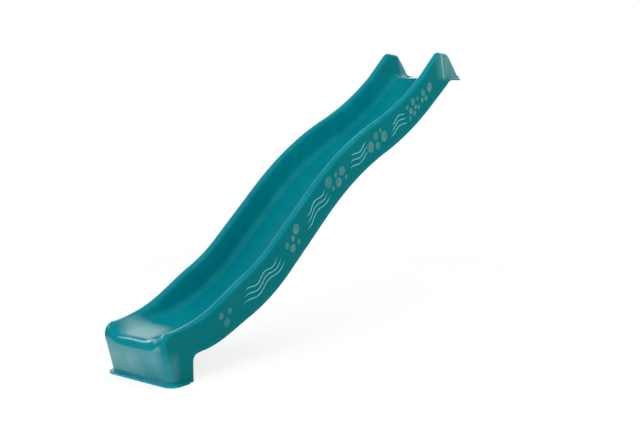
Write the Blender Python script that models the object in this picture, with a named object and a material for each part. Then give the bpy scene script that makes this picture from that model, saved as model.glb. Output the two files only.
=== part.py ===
"""A wave slide for a 1.5 m play platform, moulded in one piece, with its deck fixings.

Metres, +Z up, the ground at Z = 0. The rider comes down from +X to -X.
"""
import math

import bmesh
import bpy
import numpy as np
from mathutils import Matrix

# What the slide stands on and hangs from
PLATFORM_HEIGHT = 1.500
EXIT_HEIGHT = 0.223

# Run of the bed, seen from the side, from the foot to the top
FRONT_LEAN = math.radians(14.5)
NOSE_RADIUS = 0.050
EXIT_SLOPE = math.radians(2.4)
EXIT_RUN = 0.192
EXIT_RADIUS = 1.158
LOWER_SLOPE = math.radians(38.4)
WAVE_RADIUS = 2.244
WAVE_SLOPE = math.radians(20.3)
UPPER_RADIUS = 2.487
UPPER_SLOPE = math.radians(34.1)
UPPER_RUN = 0.245
CREST_RADIUS = 0.040
START_SLOPE = math.radians(4.0)
START_DEPTH = 0.205
EAR_FRONT_SHARE = 0.25
CREST_RISE = 0.015

# Side walls: hollow ridges, open below
WALL_HEIGHT = 0.157
NOSE_RIM = 0.047
RIM_RAMP = 0.620
INNER_HALF_WIDTH = 0.177
OUTER_HALF_WIDTH = 0.222
WALL_DRAFT = 0.008
BED_FILLET = 0.042
FOOT_DISH = 0.050
CORNER_SHARE = 0.80
RIM_SHARE = 0.50
FILLET_SHARE = 0.55
FILLET_SHARE_AT_REAR = 0.30
ROUNDED_SHARE = 0.95
OUTER_SHARE = 0.60
SKIN = 0.004

# Ears beside the start
EAR_SWEEP_RADIUS = 0.900
EAR_RISE = math.radians(39.0)
EAR_RADIUS = 0.060
EAR_TOP_SLOPE = math.radians(-3.0)
EAR_TOP_RUN = 0.073
EAR_FALL = math.radians(-43.5)
EAR_END_RISE = 0.004
EAR_SETBACK = 0.012
EAR_TAPER = 0.008
EAR_FLARE = 0.014

# Lower edge of the walls, with a turned-out lip
EDGE_DEPTH = 0.053
EDGE_DROP_AT_FOOT = 0.035
EDGE_BLEND = 0.350
EDGE_FILLET = 0.120
KNEE_RADIUS = 0.035
LIP_WIDTH = 0.010
LIP_SLOPE_DROP = 0.006
LIP_SKIRT = 0.011

# Foot and its base flange
FOOT_DEPTH = 0.160
BASE_FLANGE_FRONT = 0.020
BASE_FLANGE_SIDE = 0.024
BASE_FLANGE_TOP = 0.012
BASE_FLANGE_EDGE = 0.010
BASE_FLANGE_FADE = 0.045

# Deck fixings
FIXING_SPACING = 0.260
FIXING_INSET = 0.085
POCKET_DIAMETER = 0.044
POCKET_WALL = 0.005
POCKET_FLOOR = 0.005
HOLE_DIAMETER = 0.009
SCREW_DIAMETER = 0.008
SCREW_LENGTH = 0.060
SCREW_TIP = 0.008
THREAD_LENGTH = 0.042
THREAD_PITCH = 0.0035
THREAD_DEPTH = 0.0009
HEAD_ACROSS_FLATS = 0.013
HEAD_HEIGHT = 0.0055
HEAD_CHAMFER = 0.0007
WASHER_DIAMETER = 0.024
WASHER_THICKNESS = 0.0016
CAP_LID = 0.0025
CAP_WALL = 0.0018
CAP_CHAMFER = 0.0006
FIT_GAP = 0.0003
SEAT_GAP = 0.0003
CUT_MARGIN = 0.010

ROUND_STEPS = 32
EAR_ROWS = 8

for old in list(bpy.data.objects):
    bpy.data.objects.remove(old, do_unlink=True)


def smooth(value):
    share = min(max(value, 0.0), 1.0)
    return share * share * (3.0 - 2.0 * share)


def follow(start, heading, steps):
    """Walks a side outline of straight runs and bends; gives points and headings."""
    x, z = start
    points = [(x, z, heading)]
    for kind, size, last_heading, count in steps:
        first = heading
        x0, z0 = x, z
        for k in range(1, count + 1):
            share = k / count
            if kind == "run":
                x = x0 + size * share * math.cos(first)
                z = z0 + size * share * math.sin(first)
            else:
                heading = first + (last_heading - first) * share
                turn = size if last_heading > first else -size
                x = x0 + turn * (math.sin(heading) - math.sin(first))
                z = z0 + turn * (math.cos(first) - math.cos(heading))
            points.append((x, z, heading))
    return np.array(points)


def resample(line, count):
    """Spreads points evenly over the length of a line."""
    length = np.concatenate([[0.0], np.cumsum(np.hypot(*np.diff(line, axis=0).T))])
    places = np.linspace(0.0, length[-1], count)
    x, z = (np.interp(places, length, line[:, axis]) for axis in (0, 1))
    return np.stack([x, z], axis=1)


# Bed line, from the foot of the front face over the nose and up to the rear edge
front_heading = math.pi / 2 + FRONT_LEAN
nose_height = NOSE_RADIUS * (math.cos(EXIT_SLOPE) - math.cos(front_heading))
front_length = (EXIT_HEIGHT - nose_height - BASE_FLANGE_TOP) / math.sin(front_heading)
wave_rise = (EXIT_RUN * math.sin(EXIT_SLOPE)
             + EXIT_RADIUS * (math.cos(EXIT_SLOPE) - math.cos(LOWER_SLOPE))
             + WAVE_RADIUS * (math.cos(WAVE_SLOPE) - math.cos(LOWER_SLOPE))
             + UPPER_RADIUS * (math.cos(WAVE_SLOPE) - math.cos(UPPER_SLOPE))
             + UPPER_RUN * math.sin(UPPER_SLOPE)
             + CREST_RADIUS * (math.cos(START_SLOPE) - math.cos(UPPER_SLOPE)))
lower_run = (PLATFORM_HEIGHT + CREST_RISE - EXIT_HEIGHT - wave_rise) / math.sin(LOWER_SLOPE)
bed = follow((BASE_FLANGE_FRONT, BASE_FLANGE_TOP), front_heading, [
    ("run", front_length, 0, 3),
    ("bend", NOSE_RADIUS, EXIT_SLOPE, 7),
    ("run", EXIT_RUN, 0, 2),
    ("bend", EXIT_RADIUS, LOWER_SLOPE, 8),
    ("run", lower_run, 0, 3),
    ("bend", WAVE_RADIUS, WAVE_SLOPE, 6),
    ("bend", UPPER_RADIUS, UPPER_SLOPE, 6),
    ("run", UPPER_RUN, 0, 4),
    ("bend", CREST_RADIUS, START_SLOPE, 3),
    ("run", START_DEPTH * EAR_FRONT_SHARE, 0, 1),
    ("run", START_DEPTH * (1.0 - EAR_FRONT_SHARE), 0, EAR_ROWS),
])
row_nose, row_exit, row_wave = 3, 10, 12
row_ear = 35
row_crease = len(bed) - 1 - EAR_ROWS
rows = len(bed)
bed_xz = bed[:, :2]
outward = np.stack([-np.sin(bed[:, 2]), np.cos(bed[:, 2])], axis=1)
bed_length = np.concatenate([[0.0], np.cumsum(np.hypot(*np.diff(bed_xz, axis=0).T))])
from_nose = bed_length - bed_length[row_exit]

# Rim line: low over the nose, full along the chute, then the ear
rim_height = np.zeros(rows)
for row in range(rows):
    if row <= row_exit:
        bend_share = (front_heading - bed[row, 2]) / (front_heading - EXIT_SLOPE)
        rim_height[row] = NOSE_RIM * smooth(bend_share)
    else:
        rim_height[row] = NOSE_RIM + (WALL_HEIGHT - NOSE_RIM) * smooth(from_nose[row] / RIM_RAMP)
rim_xz = bed_xz + outward * rim_height[:, None]
ear_start = rim_xz[row_ear]
along_start = np.array([math.cos(START_SLOPE), math.sin(START_SLOPE)])
tail_end = bed_xz[-1] + outward[-1] * EAR_END_RISE
ear_end = tail_end - along_start * EAR_SETBACK


def ear_outline(rise_run, fall_run):
    return follow(ear_start, UPPER_SLOPE, [
        ("bend", EAR_SWEEP_RADIUS, EAR_RISE, 2),
        ("run", rise_run, 0, 2),
        ("bend", EAR_RADIUS, EAR_TOP_SLOPE, row_crease - row_ear - 4),
        ("run", EAR_TOP_RUN, 0, 1),
        ("bend", EAR_RADIUS, EAR_FALL, 3),
        ("run", fall_run, 0, 2),
    ])


# The two straight sides of the ear are as long as its end needs
short_by = ear_end - ear_outline(0.0, 0.0)[-1, :2]
sides = np.array([[math.cos(EAR_RISE), math.cos(EAR_FALL)],
                  [math.sin(EAR_RISE), math.sin(EAR_FALL)]])
ear_runs = np.linalg.solve(sides, short_by)
tail = resample(np.array([ear_end, tail_end]), 3)[1:]
rim_xz[row_ear:] = np.vstack([ear_outline(*ear_runs)[:, :2], tail])

# Lower edge of the wall: up the back of the foot, along the chute, level under the start
edge_depth = EDGE_DEPTH + EDGE_DROP_AT_FOOT * np.array(
    [1.0 - smooth((length - EXIT_RUN) / EDGE_BLEND) for length in from_nose])
edge_xz = bed_xz - outward * edge_depth[:, None]
row_knee = row_wave
row_fan = row_wave + 2
knee_slope = math.atan2(*(edge_xz[row_knee + 1] - edge_xz[row_knee])[::-1])
knee_z = edge_xz[row_knee, 1] - math.tan(knee_slope) * (edge_xz[row_knee, 0] - FOOT_DEPTH)
knee_cut = KNEE_RADIUS * math.tan((math.pi / 2 - knee_slope) / 2)
knee = follow((FOOT_DEPTH, BASE_FLANGE_TOP), math.pi / 2, [
    ("run", knee_z - knee_cut - BASE_FLANGE_TOP, 0, 4),
    ("bend", KNEE_RADIUS, knee_slope, 6),
])[:, :2]
edge_xz[:row_fan + 1] = resample(np.vstack([knee, edge_xz[row_knee:row_fan + 1]]), row_fan + 1)

row_lift = row_ear + 1
lift_cut = EDGE_FILLET * math.tan(UPPER_SLOPE / 2)
lift_run = (PLATFORM_HEIGHT - edge_xz[row_lift, 1]) / math.sin(UPPER_SLOPE) - lift_cut
level_x = edge_xz[row_lift, 0] + (lift_run + lift_cut) * math.cos(UPPER_SLOPE) + lift_cut
lift = follow(edge_xz[row_lift], UPPER_SLOPE, [
    ("run", lift_run, 0, 4),
    ("bend", EDGE_FILLET, 0.0, 8),
    ("run", bed_xz[-1, 0] - level_x, 0, 4),
])[:, :2]
edge_xz[row_lift:] = resample(lift, rows - row_lift)

# Lip along the lower edge: its skirt, and the slope above it
edge_run = np.gradient(edge_xz, axis=0)
edge_run /= np.hypot(*edge_run.T)[:, None]
edge_out = np.stack([edge_run[:, 1], -edge_run[:, 0]], axis=1)
edge_out[0] = edge_out[1]
lip_xz = edge_xz - edge_out * LIP_SKIRT
root_xz = lip_xz - edge_out * LIP_SLOPE_DROP

# Widths, row by row
wall_share = np.clip(rim_height / WALL_HEIGHT, 0.0, 1.0)
wall_share[row_ear:] = 1.0
rear_share = np.clip((np.arange(rows) - row_crease) / (rows - 1 - row_crease), 0.0, 1.0)
inner_y = INNER_HALF_WIDTH + EAR_FLARE * rear_share
bed_y = inner_y - WALL_DRAFT - FOOT_DISH * (1.0 - wall_share)
outer_y = OUTER_HALF_WIDTH - EAR_TAPER * rear_share
corner_share = np.array([CORNER_SHARE - (CORNER_SHARE - RIM_SHARE)
                         * smooth((row - row_nose) / (row_exit - row_nose)) for row in range(rows)])


def at(xz, y):
    return np.stack([xz[:, 0], y * np.ones(rows), xz[:, 1]], axis=1)


def corner(before, point, after, reach_in, reach_out, count):
    """Rounds a corner of every row's section, from reach_in before it to reach_out after."""
    back = before - point
    ahead = after - point
    back /= np.linalg.norm(back, axis=1)[:, None]
    ahead /= np.linalg.norm(ahead, axis=1)[:, None]
    weight = np.sqrt(np.clip((1.0 - (back * ahead).sum(axis=1)) / 2.0, 0.0, 1.0))[:, None]
    first = point + back * reach_in[:, None]
    last = point + ahead * reach_out[:, None]
    ring = []
    for k in range(count + 1):
        t = k / count
        parts = (1 - t) ** 2, 2 * t * (1 - t) * weight, t ** 2
        ring.append((parts[0] * first + parts[1] * point + parts[2] * last) / sum(parts))
    return ring


centre = at(bed_xz, 0.0)
bed_corner = at(bed_xz, bed_y)
rim_inner = at(rim_xz, inner_y)
rim_outer = at(rim_xz, outer_y)
root = at(root_xz, outer_y)
lip = at(lip_xz, outer_y + LIP_WIDTH)
edge = at(edge_xz, outer_y + LIP_WIDTH)

wall_length = np.linalg.norm(rim_inner - bed_corner, axis=1)
rim_width = np.linalg.norm(rim_outer - rim_inner, axis=1)
drop_length = np.linalg.norm(root - rim_outer, axis=1)
fillet_share = np.interp(np.arange(rows), [row_crease, rows - 1],
                         [FILLET_SHARE, FILLET_SHARE_AT_REAR])
rim_reach = np.minimum((1.0 - corner_share) * rim_width, (ROUNDED_SHARE - fillet_share) * wall_length)
fillet_reach = np.minimum(BED_FILLET, fillet_share * wall_length)
outer_reach = np.minimum(corner_share * rim_width, OUTER_SHARE * drop_length)

bed_ring = corner(centre, bed_corner, rim_inner, fillet_reach, fillet_reach, 4)
rim_ring = corner(bed_corner, rim_inner, rim_outer, rim_reach, (1.0 - corner_share) * rim_width, 3)
outer_ring = corner(rim_inner, rim_outer, root, corner_share * rim_width, outer_reach, 3)
half = [centre, (centre + bed_ring[0]) / 2] + bed_ring + rim_ring + outer_ring[1:]
wall_first = outer_ring[-1]
half += [wall_first + (root - wall_first) * k / 3 for k in (1, 2)] + [root, lip, edge]
half = np.stack(half, axis=1)

# Base flange round the foot: out, then down to the ground
first_row = half[0]
ahead_step = np.gradient(first_row[:, :2], axis=0)
ahead_step /= np.linalg.norm(ahead_step, axis=1)[:, None]
facing_front = np.clip(ahead_step[:, 1], 0.0, 1.0)
facing_side = np.clip(ahead_step[:, 0], 0.0, 1.0)
facing_front[-3:] = 0.0
side_share = np.array([smooth((FOOT_DEPTH - x) / BASE_FLANGE_FADE) for x in first_row[:, 0]])
flange = first_row.copy()
flange[:, 0] -= BASE_FLANGE_FRONT * facing_front
flange[:, 1] += BASE_FLANGE_SIDE * facing_side * side_share
flange[:, 2] = BASE_FLANGE_EDGE
ground = flange.copy()
ground[:, 2] = 0.0
half = np.concatenate([[ground, flange], half])

# Both halves, as one sheet that shares its centre line
mirrored = half[:, 1:] * np.array([1.0, -1.0, 1.0])
sheet = np.concatenate([half[:, ::-1], mirrored], axis=1)
shift = 0.5 * (sheet[..., 0].min() + sheet[..., 0].max())
sheet[..., 0] -= shift


def material(name, colour, roughness, metallic):
    made = bpy.data.materials.new(name)
    made.use_nodes = True
    shader = made.node_tree.nodes["Principled BSDF"]
    shader.inputs["Base Color"].default_value = (*colour, 1.0)
    shader.inputs["Roughness"].default_value = roughness
    shader.inputs["Metallic"].default_value = metallic
    return made


moulded_plastic = material("moulded_plastic", (0.000, 0.205, 0.215), 0.22, 0.0)
cap_plastic = material("cap_plastic", (0.000, 0.190, 0.200), 0.35, 0.0)
zinc_steel = material("zinc_steel", (0.62, 0.63, 0.65), 0.32, 1.0)

holder = bpy.data.objects.new("playground_slide", None)
bpy.context.collection.objects.link(holder)


def add_object(name, mesh, finish, place=(0.0, 0.0, 0.0)):
    item = bpy.data.objects.new(name, mesh)
    item.location = place
    item.parent = holder
    mesh.materials.clear()
    mesh.materials.append(finish)
    bpy.context.collection.objects.link(item)
    return item


def sheet_mesh(name, grid):
    across, along = grid.shape[1], grid.shape[0]
    mesh = bpy.data.meshes.new(name)
    index = np.arange(across * along).reshape(along, across)
    faces = np.stack([index[:-1, :-1], index[:-1, 1:], index[1:, 1:], index[1:, :-1]], axis=-1)
    mesh.from_pydata(grid.reshape(-1, 3).tolist(), [], faces.reshape(-1, 4).tolist())
    mesh.update()
    return mesh


def turned(name, profile, steps=ROUND_STEPS):
    """Spins a closed outline of (radius, height) points round the Z axis."""
    shape = bmesh.new()
    loop = [shape.verts.new((radius, 0.0, height)) for radius, height in profile]
    edges = [shape.edges.new((loop[k], loop[k - 1])) for k in range(len(loop))
             if profile[k][0] > 0 or profile[k - 1][0] > 0]
    bmesh.ops.spin(shape, geom=loop + edges, cent=(0, 0, 0), axis=(0, 0, 1),
                   angle=2 * math.pi, steps=steps, use_merge=True)
    bmesh.ops.remove_doubles(shape, verts=shape.verts, dist=0.00001)
    bmesh.ops.recalc_face_normals(shape, faces=shape.faces)
    mesh = bpy.data.meshes.new(name)
    shape.to_mesh(mesh)
    shape.free()
    mesh.shade_smooth()
    mesh.set_sharp_from_angle(angle=math.radians(35))
    return mesh


def cutter(name, mesh, place):
    tool = add_object(name, mesh, moulded_plastic, place)
    tool.hide_render = True
    tool.display_type = "WIRE"
    return tool


# The moulding
shell = add_object("slide_shell", sheet_mesh("slide_shell", sheet), moulded_plastic)
shell.data.shade_smooth()
shell.data.set_sharp_from_angle(angle=math.radians(35))
skin = shell.modifiers.new("skin", "SOLIDIFY")
skin.thickness = SKIN
skin.offset = -1.0
skin.use_even_offset = True

fixing_x = bed_xz[-1, 0] - shift - FIXING_INSET
pocket_floor_z = PLATFORM_HEIGHT + POCKET_FLOOR
crest_x = bed_xz[row_crease, 0] - shift
bed_z = bed_xz[row_crease, 1] + math.tan(START_SLOPE) * (fixing_x - crest_x)
mouth_z = bed_z - math.tan(START_SLOPE) * POCKET_DIAMETER / 2
boss_radius = POCKET_DIAMETER / 2 + POCKET_WALL
boss_height = bed_z - SKIN / 2 - PLATFORM_HEIGHT
bore_radius = HOLE_DIAMETER / 2
pocket_radius = POCKET_DIAMETER / 2
pocket_reach = mouth_z - PLATFORM_HEIGHT + 2 * CUT_MARGIN
boss_outline = [(0.0, 0.0), (boss_radius, 0.0), (boss_radius, boss_height), (0.0, boss_height)]
pocket_outline = [
    (0.0, -CUT_MARGIN), (bore_radius, -CUT_MARGIN), (bore_radius, POCKET_FLOOR),
    (pocket_radius, POCKET_FLOOR), (pocket_radius, pocket_reach), (0.0, pocket_reach)]
for name, outline, operation in (("bosses", boss_outline, "UNION"),
                                 ("pockets", pocket_outline, "DIFFERENCE")):
    pair = bmesh.new()
    for side in (1, -1):
        one = turned(name, outline)
        if operation == "UNION":
            for point in one.vertices:
                if point.co.z > boss_height / 2:
                    point.co.z += math.tan(START_SLOPE) * point.co.x
        one.transform(Matrix.Translation((fixing_x, side * FIXING_SPACING / 2, PLATFORM_HEIGHT)))
        pair.from_mesh(one)
    both = bpy.data.meshes.new(name)
    pair.to_mesh(both)
    pair.free()
    change = shell.modifiers.new(name, "BOOLEAN")
    change.object = cutter(name, both, (0.0, 0.0, 0.0))
    change.operation = operation
    change.solver = "EXACT"

# Deck fixings: washer, hexagon screw and snap-in cap, on each side
washer_z = pocket_floor_z + SEAT_GAP
head_z = washer_z + WASHER_THICKNESS + SEAT_GAP
shank = SCREW_DIAMETER / 2
core = shank - THREAD_DEPTH
head_corner = HEAD_ACROSS_FLATS / 2 / math.cos(math.pi / 6)
crests = int(THREAD_LENGTH / THREAD_PITCH)
thread_top = -SCREW_LENGTH + SCREW_TIP + crests * THREAD_PITCH
screw_profile = [(0.0, HEAD_HEIGHT / 2), (shank, HEAD_HEIGHT / 2), (shank, thread_top)]
for k in range(crests):
    top = thread_top - k * THREAD_PITCH
    screw_profile += [(core, top - 0.25 * THREAD_PITCH), (core, top - 0.65 * THREAD_PITCH),
                      (shank, top - THREAD_PITCH)]
screw_profile += [(0.0, -SCREW_LENGTH)]
cap_top = mouth_z - pocket_floor_z - SEAT_GAP
cap_radius = POCKET_DIAMETER / 2 - FIT_GAP


def hexagon_head(name):
    shape = bmesh.new()
    bmesh.ops.create_cone(shape, cap_ends=True, segments=6, radius1=head_corner,
                          radius2=head_corner, depth=HEAD_HEIGHT)
    bmesh.ops.translate(shape, verts=shape.verts, vec=(0, 0, HEAD_HEIGHT / 2))
    upper = [rim for rim in shape.edges if all(end.co.z > HEAD_HEIGHT * 0.9 for end in rim.verts)]
    bmesh.ops.bevel(shape, geom=upper, offset=HEAD_CHAMFER, segments=1, affect="EDGES")
    mesh = bpy.data.meshes.new(name)
    shape.to_mesh(mesh)
    shape.free()
    return mesh


for side, word in ((1, "left"), (-1, "right")):
    y = side * FIXING_SPACING / 2
    washer = turned("flange_washer_" + word, [
        (HOLE_DIAMETER / 2, 0.0), (WASHER_DIAMETER / 2, 0.0),
        (WASHER_DIAMETER / 2, WASHER_THICKNESS), (HOLE_DIAMETER / 2, WASHER_THICKNESS)])
    add_object("flange_washer_" + word, washer, zinc_steel, (fixing_x, y, washer_z))

    screw = add_object("flange_screw_" + word, hexagon_head("flange_screw_" + word),
                       zinc_steel, (fixing_x, y, head_z))
    stem = cutter("screw_stem_" + word, turned("screw_stem_" + word, screw_profile, 16),
                  (fixing_x, y, head_z))
    join = screw.modifiers.new("stem", "BOOLEAN")
    join.object = stem
    join.operation = "UNION"
    join.solver = "EXACT"

    cap = turned("screw_cap_" + word, [
        (0.0, cap_top - CAP_LID), (cap_radius - CAP_WALL, cap_top - CAP_LID),
        (cap_radius - CAP_WALL, 0.0), (cap_radius, 0.0), (cap_radius, cap_top - CAP_CHAMFER),
        (cap_radius - CAP_CHAMFER, cap_top), (0.0, cap_top)])
    add_object("screw_cap_" + word, cap, cap_plastic, (fixing_x, y, pocket_floor_z + SEAT_GAP))
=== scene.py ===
from math import atan2, copysign, cos, pi, radians, sin, tan

import bmesh
import bpy
import numpy as np
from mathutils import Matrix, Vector


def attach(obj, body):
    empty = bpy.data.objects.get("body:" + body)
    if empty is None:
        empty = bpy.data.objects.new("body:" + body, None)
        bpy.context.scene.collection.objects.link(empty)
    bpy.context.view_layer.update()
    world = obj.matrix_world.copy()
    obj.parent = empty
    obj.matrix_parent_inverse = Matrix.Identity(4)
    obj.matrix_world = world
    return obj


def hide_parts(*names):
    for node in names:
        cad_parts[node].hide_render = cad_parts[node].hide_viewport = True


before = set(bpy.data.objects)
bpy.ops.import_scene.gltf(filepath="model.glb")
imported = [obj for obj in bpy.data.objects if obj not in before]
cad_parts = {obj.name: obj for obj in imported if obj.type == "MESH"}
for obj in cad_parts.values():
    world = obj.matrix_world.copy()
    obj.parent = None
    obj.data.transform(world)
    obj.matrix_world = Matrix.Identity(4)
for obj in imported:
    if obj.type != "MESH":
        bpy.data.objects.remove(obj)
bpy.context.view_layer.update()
scene = bpy.context.scene
sides = ((1, "left"), (-1, "right"))
print("frame loaded")


def smooth(share):
    # an even start and end: s s (3 - 2 s)
    share = np.clip(share, 0.0, 1.0)
    return share * share * (3.0 - 2.0 * share)


def walk(start, heading, legs, at):
    # x, z and heading at stations of a line of legs: straight ones of some length, and round ones
    # of some radius that turn to a heading, each over count stations
    x, z = start
    line = np.zeros((len(at), 3))
    first = 0.0
    for size, turnTo, count in legs:
        share = np.append(np.clip((at - first) / count, 0.0, 1.0), 1.0)
        if turnTo is None:
            headings = np.full_like(share, heading)
            xs = x + size * share * cos(heading)
            zs = z + size * share * sin(heading)
        else:
            headings = heading + (turnTo - heading) * share
            turn = copysign(size, turnTo - heading)
            xs = x + turn * (np.sin(headings) - sin(heading))
            zs = z + turn * (cos(heading) - np.cos(headings))
        here = at >= first
        line[here] = np.stack([xs, zs, headings], axis=1)[:-1][here]
        x, z, heading = xs[-1], zs[-1], headings[-1]
        first += count
    return line


def outline(start, heading, legs, perStation=12):
    # x and z at even stations over the whole of the legs
    count = sum(leg[-1] for leg in legs)
    return walk(start, heading, legs, np.linspace(0.0, count, count * perStation + 1))[:, :2]


def lengthAlong(line):
    # how far along a line each of its points lies
    return np.concatenate([[0.0], np.cumsum(np.linalg.norm(np.diff(line, axis=0), axis=1))])


def spread(line, shares):
    # points of a line at these shares of its length
    length = lengthAlong(line)
    return np.stack([np.interp(shares * length[-1], length, line[:, k]) for k in (0, 1)], axis=1)


def unit(vectors):
    # each vector over its own length
    return vectors / np.maximum(np.linalg.norm(vectors, axis=-1, keepdims=True), 1e-9)


def rounded(before, point, after, reachIn, reachOut, count):
    # a conic round from reachIn before a corner to reachOut after it, for every row at once
    back, ahead = unit(before - point), unit(after - point)
    weight = np.sqrt(np.clip((1.0 - (back * ahead).sum(axis=1)) / 2.0, 0.0, 1.0))[:, None]
    first = point + back * np.reshape(reachIn, (-1, 1))
    last = point + ahead * np.reshape(reachOut, (-1, 1))
    t = np.linspace(0.0, 1.0, count + 1)[:, None, None]
    a, b, c = (1.0 - t) ** 2, 2.0 * t * (1.0 - t) * weight, t ** 2
    return (a * first + b * point + c * last) / (a + b + c)


def between(first, last, count):
    # lines at even steps between two lines, without the two themselves
    share = (np.arange(1, count) / count)[:, None, None]
    return first + (last - first) * share


def inScene(name, data):
    made = bpy.data.objects.new(name, data)
    scene.collection.objects.link(made)
    return made


def newPiece(name, mesh, finish, slot, stands=(), sharp=40.0):
    # edges sharper than this many degrees stay crisp; the piece stands in for the nodes named
    mesh.shade_smooth()
    mesh.set_sharp_from_angle(angle=radians(sharp))
    mesh.materials.clear()
    mesh.materials.append(finish)
    piece = inScene(name, mesh)
    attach(piece, "root")
    for node in stands:
        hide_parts(node)


def gridFaces(rows, columns, first=0):
    # the quads of an open grid whose points are counted from first
    index = first + np.arange(rows * columns).reshape(rows, columns)
    faces = np.stack([index[:-1, :-1], index[:-1, 1:], index[1:, 1:], index[1:, :-1]], axis=-1)
    return faces.reshape(-1, 4)


def meshFrom(name, points, faces):
    mesh = bpy.data.meshes.new(name)
    mesh.from_pydata(np.reshape(points, (-1, 3)).tolist(), [], np.asarray(faces).tolist())
    mesh.validate()
    mesh.update()
    return mesh


def merged(name, points, faces, turnOut=False):
    # points that meet at a seam or a pole become one, and then faces may be turned outwards
    mesh = meshFrom(name, points, faces)
    work = bmesh.new()
    work.from_mesh(mesh)
    bmesh.ops.remove_doubles(work, verts=work.verts, dist=1e-7)
    if turnOut:
        bmesh.ops.recalc_face_normals(work, faces=work.faces)
    work.to_mesh(mesh)
    work.free()
    return mesh


def softened(corners, radius, count=3):
    # an outline whose inner corners are cut back by radius and rounded with a parabola
    corners = [np.array(corner, dtype=float) for corner in corners]
    line = [corners[0][None]]
    t = np.linspace(0.0, 1.0, count + 1)[:, None]
    for before, point, after in zip(corners[:-2], corners[1:-1], corners[2:]):
        back, ahead = before - point, after - point
        reach = min(radius, 0.45 * np.linalg.norm(back), 0.45 * np.linalg.norm(ahead))
        first = point + back / np.linalg.norm(back) * reach
        last = point + ahead / np.linalg.norm(ahead) * reach
        line.append((1.0 - t) ** 2 * first + 2.0 * t * (1.0 - t) * point + t ** 2 * last)
    return np.concatenate(line + [corners[-1][None]])


def roundFaces(columns, rows):
    # faces of a grid whose first direction closes on itself
    index = np.arange(columns * rows).reshape(columns, rows)
    ahead = np.roll(index, -1, axis=0)
    faces = np.stack([index[:, :-1], ahead[:, :-1], ahead[:, 1:], index[:, 1:]], axis=-1)
    return faces.reshape(-1, 4)


def lathed(name, profile, steps=72):
    # a profile of radius and height carried once round: (r cos a, r sin a, z)
    radius, height = np.asarray(profile).T
    angle = np.arange(steps)[:, None] * 2.0 * pi / steps
    points = np.stack([radius * np.cos(angle), radius * np.sin(angle), height + 0.0 * angle], axis=-1)
    return merged(name, points, roundFaces(steps, len(radius)))


def pointsOf(mesh):
    where = np.empty(3 * len(mesh.vertices))
    mesh.vertices.foreach_get("co", where)
    return where.reshape(-1, 3)


def placedAt(mesh, where):
    mesh.vertices.foreach_set("co", where.ravel())
    mesh.update()
    return mesh


def shifted(mesh, *by):
    # moves a mesh's own points, so that its object stays at the origin
    return placedAt(mesh, pointsOf(mesh) + by)


def nodesOf(name):
    made = bpy.data.materials.new(name)
    made.use_nodes = True
    nodes = made.node_tree.nodes
    return made, nodes["Principled BSDF"], nodes.new("ShaderNodeTexCoord").outputs["Object"]


def given(socket, value):
    # a socket takes a link from another one, or a number, a vector or a colour
    if isinstance(value, bpy.types.NodeSocket):
        socket.id_data.links.new(value, socket)
    else:
        socket.default_value = (*value, 1.0) if socket.type == "RGBA" else value


def newNode(like, kind, **inputs):
    # a node in the same tree as another socket
    made = like.id_data.nodes.new("ShaderNode" + kind)
    for name, value in inputs.items():
        given(made.inputs[name], value)
    return made


def mapped(point, scale, turn=(0.0, 0.0, 0.0)):
    return newNode(point, "Mapping", Vector=point, Scale=scale, Rotation=turn).outputs["Vector"]


def axesOf(point):
    parts = newNode(point, "SeparateXYZ", Vector=point)
    return [parts.outputs[axis] for axis in "XYZ"]


def noise(point, scale, detail=3.0, roughness=0.5):
    # cloudy values of 0 to 1, with scale patches to the metre
    made = newNode(point, "TexNoise", Vector=point, Scale=scale, Detail=detail, Roughness=roughness)
    return made.outputs["Fac"]


def spanned(value, low, high, toLow=0.0, toHigh=1.0):
    # value runs smoothly from toLow to toHigh as it goes from low to high, which may be the smaller
    if low > high:
        low, high, toLow, toHigh = high, low, toHigh, toLow
    made = newNode(value, "MapRange", Value=value,
                   **{"From Min": low, "From Max": high, "To Min": toLow, "To Max": toHigh})
    made.interpolation_type = "SMOOTHSTEP"
    return made.outputs["Result"]


def maths(kind, first, second=0.0):
    made = newNode(second if isinstance(first, float) else first, "Math")
    made.operation = kind
    given(made.inputs[0], first)
    given(made.inputs[1], second)
    return made.outputs["Value"]


def chained(kind, parts):
    # one maths node after another, from the first part to the last
    result = parts[0]
    for part in parts[1:]:
        result = maths(kind, result, part)
    return result


def times(*parts):
    return chained("MULTIPLY", parts)


def plus(*parts):
    return chained("ADD", parts)


def blended(share, first, second):
    made = newNode(share, "Mix", Factor=share)
    made.data_type = "RGBA"
    for name, value in (("A", first), ("B", second)):
        given(next(s for s in made.inputs if s.name == name and s.type == "RGBA"), value)
    return next(s for s in made.outputs if s.type == "RGBA")


def bumped(height, distance, strength=1.0, **under):
    # a height of 1 stands this distance out of the surface, over the bumps under it
    return newNode(height, "Bump", Height=height, Distance=distance, Strength=strength,
                   **under).outputs["Normal"]


def dressed(shader, tint, rough, normal, specular=0.5):
    for name, value in (("Base Color", tint), ("Roughness", rough), ("Normal", normal),
                        ("Specular IOR Level", specular)):
        given(shader.inputs[name], value)


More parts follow.
